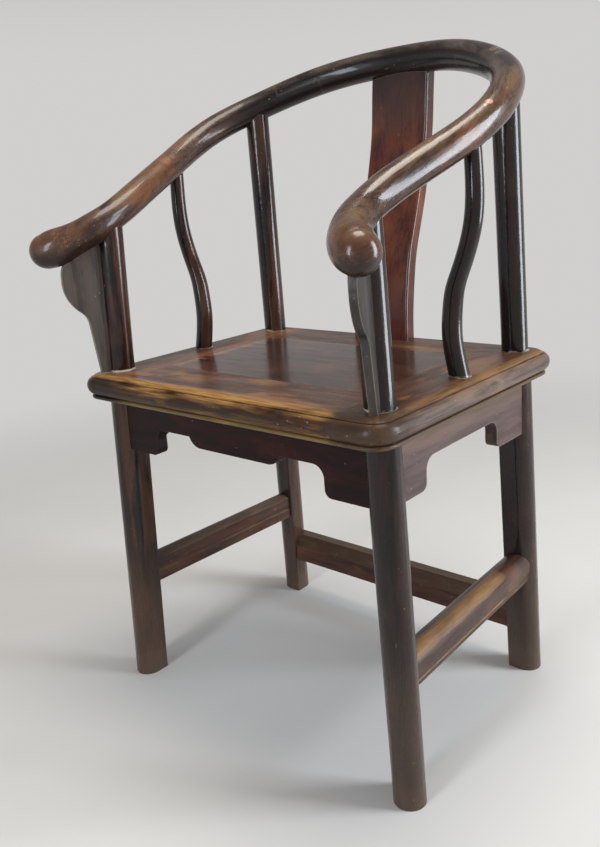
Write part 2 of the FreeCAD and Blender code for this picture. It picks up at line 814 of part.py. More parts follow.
aprons = {}
for end in ENDS:
    name = {"front": "front_apron", "rear": "back_apron"}[end]
    leg_face = SIZE[end + "_leg_across"] - SIZE["leg_width"] * 0.5
    points = bracket_points(leg_face - SIZE["long_bracket_length"]) + step_points()
    reach = leg_face + SIZE["long_apron_housing"]
    start, steps = apron_steps(reach, points, reach, points)
    lift = (SIZE[end + "_leg_along"] + SIZE["apron_set_out"]) * -ENDS[end]
    aprons[end] = new_body(name)
    pad_loop(
        aprons[end], lift, start, steps, SIZE["apron_thickness"], role="XZ_Plane", reverse=end == "front",
    )
for side in SIDES:
    faces = {end: SIZE[end + "_leg_along"] - SIZE["leg_width"] * 0.5 for end in ENDS}
    points = {
        end: bracket_points(faces[end] - SIZE["side_bracket_%s_length" % end]) for end in ENDS
    }
    reach = {end: faces[end] + SIZE["side_apron_housing"] for end in ENDS}
    start, steps = apron_steps(reach["rear"], points["rear"], reach["front"], points["front"])
    lift = (SIZE["front_leg_across"] + SIZE["apron_set_out"]) * SIDES[side]
    aprons[side] = new_body(side + "_apron")
    pad_loop(
        aprons[side], lift, start, steps, SIZE["apron_thickness"], role="YZ_Plane", reverse=side == "right",
    )


# Stretchers with blind tenons that pass the axis of each leg


def section_steps(shares, centre, level, width, depth, out):
    points = []
    for across, up, curve in shares:
        place = centre + width * across * out, level + depth * up
        points.append(to_step(place, depth * curve if curve else None, -out))
    return points[0], points[1:]


stretcher_blanks = {}
stretcher_tenons = {}
level = SIZE["side_stretcher_height"]
run = SIZE["stretcher_tenon_run"]
tenon_width = SIZE["stretcher_tenon_width"]
tenon_levels = SIZE["stretcher_tenon_depth"] * -0.5, SIZE["stretcher_tenon_depth"] * 0.5
for side in SIDES:
    front = leg_axis("front", side, level)
    rear = leg_axis("rear", side, level)
    length = rear[1] - front[1]
    slope = (rear[0] - front[0]) / length
    stretcher_blanks[side] = new_body(side + "_stretcher_blank")
    start, steps = section_steps(
        SIDE_STRETCHER_SHARES, front[0], level, SIZE["side_stretcher_width"],
        SIZE["side_stretcher_depth"], SIDES[side],
    )
    pad_loop(
        stretcher_blanks[side], -front[1], start, steps, length, role="XZ_Plane", lean=(slope, ONE, ZERO),
    )
    stretcher_tenons[side] = new_body(side + "_stretcher_tenon")
    low, high = (level + rise for rise in tenon_levels)
    near, far = around(front[0] - slope * run, tenon_width)
    pad_loop(
        stretcher_tenons[side], run - front[1], (near, low), [(far, low), (far, high), (near, high)],
        length + run * 2, role="XZ_Plane", lean=(slope, ONE, ZERO),
    )
level = SIZE["back_stretcher_height"]
reach, along = leg_axis("rear", "right", level)
stretcher_blanks["back"] = new_body("back_stretcher_blank")
start, steps = section_steps(
    BACK_STRETCHER_SHARES, along, level, SIZE["back_stretcher_width"], SIZE["back_stretcher_depth"], 1,
)
pad_loop(stretcher_blanks["back"], -reach, start, steps, reach * 2, role="YZ_Plane")
stretcher_tenons["back"] = new_body("back_stretcher_tenon")
low, high = (level + rise for rise in tenon_levels)
near, far = around(along, tenon_width)
pad_loop(
    stretcher_tenons["back"], -reach - run, (near, low), [(far, low), (far, high), (near, high)],
    (reach + run) * 2, role="YZ_Plane",
)


# Seat: moulded frame with a flush panel held in grooves and two battens below

opening_half_width = SIZE["seat_half_width"] - SIZE["side_rail_width"]
opening_half_depth = SIZE["seat_half_depth"] - SIZE["long_rail_width"]
core_half_width = SIZE["seat_half_width"] - SIZE["edge_depth"]
core_half_depth = SIZE["seat_half_depth"] - SIZE["edge_depth"]


def rounded_loop(half_width, half_depth, radius):
    """A rectangle with round corners, from the middle of its right side, anticlockwise."""
    start = (half_width, ZERO)
    steps = []
    for out, far in ((1, 1), (-1, 1), (-1, -1), (1, -1)):
        end_on = (half_width - radius) * out, half_depth * far
        side_on = half_width * out, (half_depth - radius) * far
        first, last = (side_on, end_on) if out * far > 0 else (end_on, side_on)
        steps += [first, Bend(last, radius, 1)]
    return start, steps + [start]


def edge_section():
    """Moulded edge of the seat on the right side: out from the chair, and level."""
    outer = SIZE["seat_half_width"]

    def inset(name):
        return outer - SIZE[name]

    def radius_of(run_in, fall):
        return (run_in * run_in + fall * fall) / (fall * 2)

    quirk_high = inset("quirk_inset"), seat_top - SIZE["quirk_drop"]
    quirk = quirk_high[0] - SIZE["quirk_depth"] * 0.5, quirk_high[1] - SIZE["quirk_depth"]
    quirk_low = quirk_high[0] + SIZE["quirk_width"], quirk_high[1] - SIZE["quirk_width"] * 0.5
    widest = outer, seat_top - SIZE["nose_drop"]
    under = inset("nose_under_inset"), seat_top - SIZE["nose_under_drop"]
    bead_top = inset("bead_inset"), seat_under + SIZE["bead_height"]
    bead_foot = inset("bead_inset"), seat_under
    upper_radius = radius_of(SIZE["nose_depth"] - SIZE["quirk_inset"], SIZE["quirk_drop"])
    nose_radius = radius_of(quirk_low[1] - widest[1], widest[0] - quirk_low[0])
    under_radius = radius_of(widest[1] - under[1], widest[0] - under[0])
    start = (inset("edge_depth"), seat_top)
    steps = [
        (inset("nose_depth"), seat_top),
        Bend(quirk_high, upper_radius, -1),
        quirk,
        quirk_low,
        Bend(widest, nose_radius, -1),
        Bend(under, under_radius, -1),
        bead_top,
        Bend(bead_foot, SIZE["bead_height"] * BEAD_CURVE_SHARE, -1),
        (inset("edge_depth"), seat_under),
    ]
    return start, steps


edge = new_body("seat_edge")
edge_path = new_sketch(edge, "XY_Plane", seat_top)
draw_loop(edge_path, *rounded_loop(core_half_width, core_half_depth, SIZE["corner_core"]))
edge_profile = new_sketch(edge, "XZ_Plane", ZERO)
draw_loop(edge_profile, *edge_section())
sweep = edge.newObject("PartDesign::AdditivePipe", "seat_edge_sweep")
sweep.Profile = edge_profile
sweep.Spine = (edge_path, ["Edge%d" % (number + 1) for number in range(edge_path.GeometryCount)])

slab = new_body("seat_slab")
lap = SIZE["edge_lap"]
start, steps = rounded_loop(core_half_width + lap, core_half_depth + lap, SIZE["corner_core"] + lap)
pad_loop(slab, seat_under, start, steps, SIZE["seat_thickness"])

panel_under = seat_top - SIZE["panel_thickness"]
opening = new_body("seat_opening")
pad_block(opening, seat_under, seat_top, both_ways(opening_half_width), both_ways(opening_half_depth))
groove_depth = SIZE["tongue_length"] + SIZE["tongue_slack"]
groove = new_body("panel_groove")
pad_block(
    groove, panel_under, panel_under + SIZE["tongue_thickness"],
    both_ways(opening_half_width + groove_depth), both_ways(opening_half_depth + groove_depth),
)
seam = SIZE["panel_seam"]
panel_board = new_body("panel_board")
pad_block(
    panel_board, panel_under, seat_top,
    both_ways(opening_half_width - seam), both_ways(opening_half_depth - seam),
)
panel_tongue = new_body("panel_tongue")
pad_block(
    panel_tongue, panel_under, panel_under + SIZE["tongue_thickness"],
    both_ways(opening_half_width + SIZE["tongue_length"]),
    both_ways(opening_half_depth + SIZE["tongue_length"]),
)

battens = {}
for side in SIDES:
    middle = opening_half_width * BATTEN_SHARE * SIDES[side]
    low = panel_under - SIZE["batten_height"]
    top = panel_under + SIZE["dovetail_height"]
    left, right = around(middle, SIZE["batten_width"])
    neck_left, neck_right = around(middle, SIZE["dovetail_neck"])
    head_left, head_right = around(middle, SIZE["dovetail_head"])
    board = new_body(side + "_batten_board")
    pad_loop(
        board, opening_half_depth, (left, low),
        [
            (right, low), (right, panel_under), (neck_right, panel_under), (head_right, top),
            (head_left, top), (neck_left, panel_under), (left, panel_under),
        ],
        opening_half_depth * 2, role="XZ_Plane", reverse=True,
    )
    tenon = new_body(side + "_batten_tenon")
    tenon_middle = panel_under - SIZE["batten_height"] * 0.5
    low, high = around(tenon_middle, SIZE["batten_tenon_height"])
    pad_block(
        tenon, low, high, around(middle, SIZE["batten_tenon_width"]),
        both_ways(opening_half_depth + SIZE["batten_tenon_length"]),
    )
    battens[side] = fuse(side + "_seat_batten", board, tenon)

mitre_tenons = {}
for end in ENDS:
    mitre_tenons[end] = {}
    for side in SIDES:
        low = seat_under + SIZE["mitre_tenon_lift"]
        near = opening_half_depth + SIZE["mitre_tenon_inset"]
        body = new_body("%s_%s_mitre_tenon" % (end, side))
        root = opening_half_width - SIZE["mitre_tenon_width"]
        tip = opening_half_width + SIZE["mitre_tenon_length"]
        pad_block(
            body, low, low + SIZE["mitre_tenon_thickness"], span(root, tip, SIDES[side]),
            span(near, near + SIZE["mitre_tenon_width"], ENDS[end]),
        )
        mitre_tenons[end][side] = body


def mitre_corner(out, far, run):
    across = opening_half_width + SIZE["side_rail_width"] * run
    along = opening_half_depth + SIZE["long_rail_width"] * run
    return across * out, along * far


mitre_blocks = {}
for label, corners in (
    ("front", ((-1, -1), (1, -1))), ("rear", ((1, 1), (-1, 1))),
    ("left", ((-1, 1), (-1, -1))), ("right", ((1, -1), (1, 1))),
):
    first, last = corners
    body = new_body(label + "_mitre_block")
    start = mitre_corner(*first, 0)
    steps = [
        mitre_corner(*first, MITRE_RUN_SHARE), mitre_corner(*last, MITRE_RUN_SHARE), mitre_corner(*last, 0),
    ]
    pad_loop(body, seat_under, start, steps, SIZE["seat_thickness"])
    mitre_blocks[label] = body

below_seat = new_body("below_seat")
pad_block(
    below_seat, seat_under, seat_top,
    both_ways(SIZE["seat_half_width"]), both_ways(SIZE["seat_half_depth"]),
)


# Joints and finished pieces

spandrels = {}
for side in SIDES:
    name = side + "_arm_spandrel"
    spandrels[side] = cut(name, spandrel_blanks[side], below_seat, crest_cutter)

stretchers = {}
for side in SIDES:
    ends = leg_cutters["front", side], leg_cutters["rear", side]
    coped = cut(side + "_stretcher_coped", stretcher_blanks[side], *ends)
    stretchers[side] = fuse(side + "_stretcher", coped, stretcher_tenons[side])
ends = leg_cutters["rear", "left"], leg_cutters["rear", "right"]
coped = cut("back_stretcher_coped", stretcher_blanks["back"], *ends)
stretchers["back"] = fuse("back_stretcher", coped, stretcher_tenons["back"])

legs = {}
for end in ENDS:
    for side in SIDES:
        key = end, side
        name = "%s_%s_leg" % key
        coped = cut(name + "_coped", timbers[key], crest_cutter)
        whole = fuse(name + "_whole", coped, post_tenons[key])
        joints = [aprons[end], aprons[side], stretcher_tenons[side]]
        joints.append(spandrels[side] if end == "front" else stretcher_tenons["back"])
        legs[key] = cut(name, whole, *joints)

side_posts = {}
for side in SIDES:
    name = side + "_side_post"
    coped = cut(name + "_coped", side_rods[side], crest_cutter)
    side_posts[side] = fuse(name, coped, side_tenons[side, "foot"], side_tenons[side, "head"])

splat_coped = cut("splat_coped", splat_board, crest_cutter)
splat = fuse("back_splat", splat_coped, splat_tenons["foot"], splat_tenons["head"])

crest_back = cut(
    "crest_rail_back", crest, arm_regions["left"], arm_regions["right"], wedge_blocks,
    splat_tenons["head"],
)
crest_arms = {}
for side in SIDES:
    arm_blank = common(side + "_arm_blank", crest, arm_regions[side])
    joints = [wedge_blocks, side_sockets[side, "head"]] + [post_tenons[end, side] for end in ENDS]
    crest_arms[side] = cut("crest_rail_%s_arm" % side, arm_blank, *joints)
crest_wedges = common("crest_rail_wedges", crest, wedge_blocks)
crest_wedges.Refine = False

seat_blank = fuse("seat_blank", edge, slab)
seat_joints = [opening, groove, splat_tenons["foot"]]
seat_joints += [post_cutters[key] for key in post_cutters]
seat_joints += [aprons[key] for key in aprons]
seat_joints += [side_sockets[side, "foot"] for side in SIDES]
seat_joints += [battens[side] for side in SIDES]
seat_frame = cut("seat_frame", seat_blank, *seat_joints)
seat_rails = {}
for end in ENDS:
    name = {"front": "seat_front_rail", "rear": "seat_back_rail"}[end]
    rail = common(name + "_body", seat_frame, mitre_blocks[end])
    seat_rails[end] = fuse(name, rail, *mitre_tenons[end].values())
for side in SIDES:
    name = "seat_%s_rail" % side
    rail = common(name + "_body", seat_frame, mitre_blocks[side])
    seat_rails[side] = cut(name, rail, *(mitre_tenons[end][side] for end in ENDS))

panel_whole = fuse("panel_whole", panel_board, panel_tongue)
panel = cut("seat_panel", panel_whole, *battens.values())

doc.recompute()

pieces = [crest_back, crest_wedges, splat, panel]
for group in (crest_arms, legs, side_posts, spandrels, seat_rails, battens, aprons, stretchers):
    pieces += group.values()

for item in doc.Objects:
    faults = [state for state in item.State if state in ("Invalid", "Error")]
    if faults:
        raise RuntimeError("%s: %s" % (item.Label, ", ".join(faults)))
    if hasattr(item, "Shape") and item in pieces:
        if item.Shape.isNull() or not item.Shape.isValid():
            raise RuntimeError(item.Label + ": bad shape")

os.makedirs("parts", exist_ok=True)
for piece in pieces:
    piece.Shape.exportStep("parts/%s.step" % piece.Label)
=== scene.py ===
import json
import math

import bpy
from mathutils import Matrix, Vector

# Horseshoe back armchair, dressed in worn lacquer. Lengths are metres, in the frame of the solids.

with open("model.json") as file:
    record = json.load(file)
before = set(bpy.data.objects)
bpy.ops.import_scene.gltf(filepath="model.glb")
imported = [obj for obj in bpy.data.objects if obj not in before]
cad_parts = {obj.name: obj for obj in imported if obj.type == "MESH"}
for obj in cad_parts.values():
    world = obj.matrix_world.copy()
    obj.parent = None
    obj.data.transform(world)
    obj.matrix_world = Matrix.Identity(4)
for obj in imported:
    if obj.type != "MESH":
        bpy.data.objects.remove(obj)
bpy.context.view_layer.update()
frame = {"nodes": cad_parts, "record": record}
nodes = frame["nodes"]
slot_of = {part["node"]: part["material_slot"] for part in frame["record"]["subparts"]}

IMAGE_WIDTH, IMAGE_HEIGHT = 600, 847
SEAT_TOP = 0.517
SEAT_HALF_WIDTH = 0.276
SEAT_HALF_DEPTH = 0.2165
SEAT_MIDDLE = -0.0085
OPENING_HALF_WIDTH = 0.185
OPENING_HALF_DEPTH = 0.1145

# Posts where they stand on the seat, measured from its middle, and the filler round them
FRONT_POST = 0.235, -0.163
REAR_POST = 0.231, 0.173
SIDE_POST = 0.2387, 0.006
FILLER_RADIUS = 0.0188
SIDE_FILLER_RADIUS = 0.0138
SPANDREL_TURN = math.radians(22.5)

# The arc that the grain of the crest rail follows
CREST_ARC_MIDDLE = -0.06
CREST_ARC_RADIUS = 0.3
CREST_SLOPE = 0.48

# Axes along which a surface can face
RIGHT, UP = 0, 2

# Agreement of the true normal and the rounded one where an edge starts to show and shows fully
EDGE_START, EDGE_FULL = 0.985, 0.80

# Sockets of the mix node when it mixes colours
MIX_SHARE, MIX_FIRST, MIX_SECOND, MIX_RESULT = 0, 6, 7, 2


# Camera at the place of the photograph

CAMERA_PLACE = Vector((0.7626, -0.8966, 0.7721))
CAMERA_YAW, CAMERA_PITCH, CAMERA_ROLL = (math.radians(turn) for turn in (41.88, 16.6, -4.14))
FOCAL_PIXELS = 822.07


def add_camera():
    forward = Vector((
        -math.sin(CAMERA_YAW) * math.cos(CAMERA_PITCH),
        math.cos(CAMERA_YAW) * math.cos(CAMERA_PITCH),
        -math.sin(CAMERA_PITCH),
    ))
    level = Vector((math.cos(CAMERA_YAW), math.sin(CAMERA_YAW), 0))
    upright = level.cross(forward)
    right = level * math.cos(CAMERA_ROLL) + upright * math.sin(CAMERA_ROLL)
    up = upright * math.cos(CAMERA_ROLL) - level * math.sin(CAMERA_ROLL)
    turn = Matrix((right, up, -forward)).transposed()
    data = bpy.data.cameras.new("camera")
    data.sensor_width = 36
    data.lens = FOCAL_PIXELS * data.sensor_width / max(IMAGE_WIDTH, IMAGE_HEIGHT)
    camera = bpy.data.objects.new("camera", data)
    camera.matrix_world = Matrix.Translation(CAMERA_PLACE) @ turn.to_4x4()
    bpy.context.scene.collection.objects.link(camera)
    bpy.context.scene.camera = camera


# Shader nodes


def tone(red, green, blue):
    """A colour given as it looks on screen, from 0 to 255, as the shader wants it."""
    parts = []
    for part in (red, green, blue):
        share = part / 255
        parts.append(share / 12.92 if share <= 0.04045 else ((share + 0.055) / 1.055) ** 2.4)
    return (*parts, 1.0)


class Pen:
    """Adds shader nodes to a material and joins them."""

    def __init__(self, name):
        self.material = bpy.data.materials.new(name)
        self.material.use_nodes = True
        self.tree = self.material.node_tree
        self.shader = self.tree.nodes["Principled BSDF"]
        self.coordinates = self.add("ShaderNodeTexCoord")
        self.place = self.coordinates.outputs["Object"]
        self.x, self.y, self.z = self.split(self.place)

    def add(self, kind, **settings):
        node = self.tree.nodes.new(kind)
        for key, value in settings.items():
            setattr(node, key, value)
        return node

    def give(self, socket, value):
        if isinstance(value, bpy.types.NodeSocket):
            self.tree.links.new(value, socket)
        else:
            socket.default_value = value

    def split(self, vector):
        node = self.add("ShaderNodeSeparateXYZ")
        self.give(node.inputs[0], vector)
        return node.outputs

    def join(self, *parts):
        node = self.add("ShaderNodeCombineXYZ")
        for socket, part in zip(node.inputs, parts):
            self.give(socket, part)
        return node.outputs[0]

    def math(self, operation, *values):
        node = self.add("ShaderNodeMath", operation=operation)
        for socket, value in zip(node.inputs, values):
            self.give(socket, value)
        return node.outputs[0]

    def plus(self, first, second):
        return self.math("ADD", first, second)

    def minus(self, first, second):
        return self.math("SUBTRACT", first, second)

    def times(self, first, *others):
        for other in others:
            first = self.math("MULTIPLY", first, other)
        return first

    def shifted(self, value, noise, amount):
        """A value moved to and fro by a noise."""
        return self.plus(value, self.times(self.minus(noise, 0.5), amount))

    def larger(self, first, second):
        return self.math("MAXIMUM", first, second)

    def ramp(self, value, start, end, low=0.0, high=1.0):
        """From low at start to high at end, smooth and held outside."""
        node = self.add("ShaderNodeMapRange", interpolation_type="SMOOTHSTEP")
        for socket, part in zip(node.inputs, (value, start, end, low, high)):
            self.give(socket, part)
        return node.outputs[0]

    def band(self, value, low, high, soft):
        """One between low and high, with soft sides."""
        rise = self.ramp(value, low - soft, low + soft)
        fall = self.ramp(value, high - soft, high + soft, 1.0, 0.0)
        return self.times(rise, fall)

    def noise(self, vector, scale, detail, roughness=0.55, distortion=0.0):
        node = self.add("ShaderNodeTexNoise")
        self.give(node.inputs["Vector"], vector)
        node.inputs["Scale"].default_value = scale
        node.inputs["Detail"].default_value = detail
        node.inputs["Roughness"].default_value = roughness
        node.inputs["Distortion"].default_value = distortion
        return node.outputs["Fac"]

    def mix(self, share, first, second):
        node = self.add("ShaderNodeMix", data_type="RGBA")
        self.give(node.inputs[MIX_SHARE], share)
        self.give(node.inputs[MIX_FIRST], first)
        self.give(node.inputs[MIX_SECOND], second)
        return node.outputs[MIX_RESULT]

    def spot(self, centre, size, uneven, amount=0.35):
        """A patch round a point with a ragged outline."""
        offset = self.add("ShaderNodeVectorMath", operation="DISTANCE")
        self.give(offset.inputs[0], self.place)
        offset.inputs[1].default_value = centre
        reach = self.shifted(offset.outputs["Value"], uneven, size * amount * 4)
        return self.ramp(reach, size * 0.75, size * 1.1, 1.0, 0.0)

    def facing(self, axis):
        """How far the surface faces along an axis of the object."""
        return self.split(self.coordinates.outputs["Normal"])[axis]

    def edges(self, reach):
        """Where two faces meet at a sharp edge."""
        bevel = self.add("ShaderNodeBevel", samples=6)
        bevel.inputs["Radius"].default_value = reach
        geometry = self.add("ShaderNodeNewGeometry")
        match = self.add("ShaderNodeVectorMath", operation="DOT_PRODUCT")
        self.give(match.inputs[0], bevel.outputs[0])
        self.give(match.inputs[1], geometry.outputs["Normal"])
        return self.ramp(match.outputs["Value"], EDGE_START, EDGE_FULL)

    def grain(self, axis):
        """Coordinates with the way of the grain first."""
        if axis == "x":
            return self.place
        if axis == "y":
            return self.join(self.y, self.z, self.x)
        if axis == "z":
            return self.join(self.z, self.x, self.y)
        forward = self.minus(self.y, CREST_ARC_MIDDLE)
        turn = self.math("ARCTAN2", self.x, forward)
        reach = self.math("SQRT", self.plus(self.times(self.x, self.x), self.times(forward, forward)))
        level = self.minus(self.z, self.times(self.y, CREST_SLOPE))
        return self.join(self.times(turn, CREST_ARC_RADIUS), reach, level)

    def stretched(self, grain, share):
        node = self.add("ShaderNodeVectorMath", operation="MULTIPLY")
        self.give(node.inputs[0], grain)
        node.inputs[1].default_value = (share, 1.0, 1.0)
        return node.outputs[0]

    def finish(self, colour, roughness, height, depth, gloss, coat, coat_roughness):
        """Joins the results to the shader."""
        self.give(self.shader.inputs["Base Color"], colour)
        self.give(self.shader.inputs["Roughness"], roughness)
        bump = self.add("ShaderNodeBump")
        bump.inputs["Distance"].default_value = depth
        self.give(bump.inputs["Height"], height)
        self.give(self.shader.inputs["Normal"], bump.outputs[0])
        self.shader.inputs["Specular IOR Level"].default_value = gloss
        self.shader.inputs["Coat Weight"].default_value = coat
        self.shader.inputs["Coat Roughness"].default_value = coat_roughness
        return self.material


class Wood:
    """The layers that every lacquered piece shares."""

    def __init__(self, name, axis, seed=0.0):
        self.pen = pen = Pen(name)
        grain = pen.grain(axis)
        shift = pen.add("ShaderNodeVectorMath", operation="ADD")
        pen.give(shift.inputs[0], grain)
        shift.inputs[1].default_value = (seed * 3.1, seed, seed * 1.7)
        grain = shift.outputs[0]
        self.fibre = pen.noise(pen.stretched(grain, 0.05), 420.0, 4.0, 0.6)
        self.figure = pen.noise(pen.stretched(grain, 0.12), 62.0, 4.0, 0.55, 0.4)
        self.blotch = pen.noise(pen.stretched(grain, 0.5), 17.0, 4.0, 0.6)
        self.patch = pen.noise(pen.stretched(grain, 0.35), 46.0, 5.0, 0.65, 0.3)
        self.speck = pen.noise(pen.stretched(grain, 0.6), 230.0, 2.0, 0.5)
        self.swell = pen.noise(pen.stretched(grain, 0.4), 26.0, 1.0, 0.4)

    def body(self, deep, middle, warm):
        """Deep lacquer with streaks of the middle tone and patches of the warm one."""
        pen = self.pen
        streak = pen.plus(pen.times(self.figure, 0.6), pen.times(self.fibre, 0.4))
        colour = pen.mix(pen.ramp(streak, 0.40, 0.60), deep, middle)
        return pen.mix(pen.ramp(self.blotch, 0.50, 0.70), colour, warm)

    def patches_with_fibres(self):
        return self.pen.plus(self.pen.times(self.patch, 0.6), self.pen.times(self.fibre, 0.4))

    def wear(self, colour, amount, worn, raw):
        """Lacquer rubbed thin where amount is high; bare wood shows along the fibres."""
        pen = self.pen
        broken = pen.shifted(amount, self.patches_with_fibres(), 1.0)
        share = pen.ramp(broken, 0.35, 0.62)
        bare = pen.ramp(broken, 0.66, 0.92)
        return pen.mix(bare, pen.mix(share, colour, worn), raw)

    def specks(self, colour, light, start):
        """Small chips and dents."""
        return self.pen.mix(self.pen.ramp(self.speck, start, start + 0.05, 0.0, 0.8), colour, light)

    def height(self, fine, soft):
        """Relief for the bump: ridges of the fibres and a slow swell."""
        pen = self.pen
        ridges = pen.plus(pen.times(self.fibre, fine), pen.times(self.patch, fine * 0.5))
        return pen.plus(ridges, pen.times(self.swell, soft))

    def gloss(self, polished, dull):
        """Roughness that goes from polished to dull where the lacquer is rubbed."""
        return self.pen.ramp(self.patches_with_fibres(), 0.35, 0.68, polished, dull)


# Finishes, one for each material slot; the axis is the way of the grain


LEFT_POST_DAB = -0.2435, -0.1880, 0.5200


def lacquer_dark(name, axis):
    wood = Wood(name, axis)
    pen = wood.pen
    colour = wood.body(tone(16, 9, 9), tone(31, 18, 16), tone(57, 34, 26))
    right = pen.times(pen.ramp(pen.facing(RIGHT), 0.05, 0.75), pen.ramp(wood.figure, 0.40, 0.58))
    right = pen.times(right, pen.ramp(pen.x, -0.05, 0.05, 0.55, 0.12))
    colour = pen.mix(right, colour, tone(84, 51, 35))
    shade = pen.times(pen.ramp(pen.x, -0.05, 0.05), pen.ramp(pen.z, SEAT_TOP - 0.02, SEAT_TOP))
    colour = pen.mix(pen.times(shade, 0.45), colour, tone(14, 9, 11))
    edge = pen.times(pen.edges(0.002), pen.ramp(wood.patch, 0.40, 0.62))
    colour = pen.mix(pen.times(edge, 0.8), colour, tone(104, 72, 52))
    foot = pen.ramp(pen.shifted(pen.z, wood.patch, 0.09), 0.010, 0.060, 1.0, 0.0)
    colour = pen.mix(pen.times(foot, 0.6), colour, tone(92, 74, 60))
    # Paler towards the bottom of the legs.
    paler_low = pen.ramp(pen.shifted(pen.z, wood.figure, 0.25), 0.06, 0.27, 1.0, 0.0)
    colour = pen.mix(pen.times(paler_low, 0.6), colour, tone(80, 63, 52))
    filler = pen.band(pen.z, SEAT_TOP, SEAT_TOP + 0.0022, 0.0010)
    filler = pen.times(filler, pen.ramp(wood.blotch, 0.46, 0.56))
    colour = pen.mix(filler, colour, tone(196, 184, 172))
    dab = pen.spot(LEFT_POST_DAB, 0.0045, wood.speck)
    colour = pen.mix(dab, colour, tone(206, 196, 186))
    colour = wood.specks(colour, tone(116, 84, 66), 0.73)
    roughness = pen.larger(wood.gloss(0.22, 0.36), pen.times(foot, 0.55))
    return pen.finish(
        colour, roughness, wood.height(0.2, 0.8),
        depth=0.0006, gloss=0.14, coat=0.50, coat_roughness=0.09,
    )


LEFT_ARM_SCUFF = -0.234, -0.243, 0.718
CREST_CHIPS = (
    ((0.2715, 0.0160, 0.8415), 0.0050, tone(196, 150, 130)),
    ((0.2700, 0.0090, 0.8370), 0.0030, tone(188, 140, 120)),
    ((0.2000, 0.1654, 0.9169), 0.0085, tone(104, 88, 74)),
    ((0.2120, 0.1520, 0.9100), 0.0065, tone(98, 82, 70)),
    ((-0.2397, -0.0402, 0.8119), 0.0100, tone(126, 80, 56)),
    ((-0.2370, -0.0250, 0.8190), 0.0070, tone(120, 78, 56)),
)


def crest_worn(name, axis):
    wood = Wood(name, axis, seed=0.7)
    pen = wood.pen
    colour = wood.body(tone(44, 29, 23), tone(78, 53, 38), tone(108, 68, 43))
    back = pen.ramp(pen.shifted(pen.y, wood.blotch, 0.10), 0.05, 0.16)
    colour = pen.mix(pen.times(back, 0.9), colour, tone(28, 21, 19))
    top = pen.ramp(pen.facing(UP), 0.25, 0.9)
    top = pen.mix(back, top, pen.ramp(pen.facing(UP), 0.30, 0.62))
    # Painted shade: on the back part, surfaces that do not face upwards are darkened to near black.
    back_lower_shade = pen.times(back, pen.ramp(pen.facing(UP), 0.50, 0.20))
    colour = pen.mix(pen.times(back_lower_shade, 0.85), colour, tone(13, 9, 10))
    amount = pen.times(top, pen.ramp(wood.patch, 0.35, 0.65), pen.ramp(back, 0.0, 1.0, 0.75, 0.65))
    colour = pen.mix(amount, colour, pen.mix(back, tone(120, 92, 67), tone(88, 75, 64)))
    # Painted shade: surfaces that face downwards are darkened.
    under = pen.ramp(pen.facing(UP), -0.2, -0.8)
    colour = pen.mix(pen.times(under, 0.6), colour, tone(36, 25, 21))
    colour = wood.specks(colour, tone(150, 122, 96), 0.71)
    scratched = pen.spot(LEFT_ARM_SCUFF, 0.016, wood.patch)
    scratched = pen.times(scratched, pen.ramp(wood.fibre, 0.50, 0.62))
    colour = pen.mix(pen.times(scratched, 0.35), colour, tone(150, 108, 92))
    # Painted light on the upper half of each arm's end ball and painted shade on its underside.
    ball = pen.ramp(pen.y, -0.205, -0.235)
    ball_top_light = pen.times(ball, pen.ramp(pen.facing(UP), -0.35, 0.25))
    colour = pen.mix(pen.times(ball_top_light, 0.35), colour, tone(104, 66, 48))
    ball_underside_shade = pen.times(ball, pen.ramp(pen.facing(UP), -0.15, -0.55))
    colour = pen.mix(pen.times(ball_underside_shade, 0.75), colour, tone(32, 22, 19))
    colour = pen.mix(pen.times(pen.edges(0.0045), 0.5), colour, tone(112, 92, 76))
    colour = pen.mix(pen.edges(0.0014), colour, tone(16, 11, 10))
    for centre, size, chip in CREST_CHIPS:
        colour = pen.mix(pen.times(pen.spot(centre, size, wood.patch), 0.85), colour, chip)
    right = pen.ramp(pen.x, 0.0, 0.12)
    roughness = pen.minus(wood.gloss(0.28, 0.46), pen.times(right, 0.14))
    return pen.finish(
        colour, roughness, wood.height(0.45, 1.0),
        depth=0.0006, gloss=0.26, coat=0.28, coat_roughness=0.07,
    )


SEAT_CORNER = 0.252, -0.215, 0.505
SEAT_DOTS = (
    ((0.2653, -0.2096, 0.514), 0.0022),
    ((0.2687, -0.2020, 0.514), 0.0026),
    ((-0.2375, -0.1905, SEAT_TOP), 0.0045),
    ((-0.2415, -0.2000, SEAT_TOP), 0.0035),
)


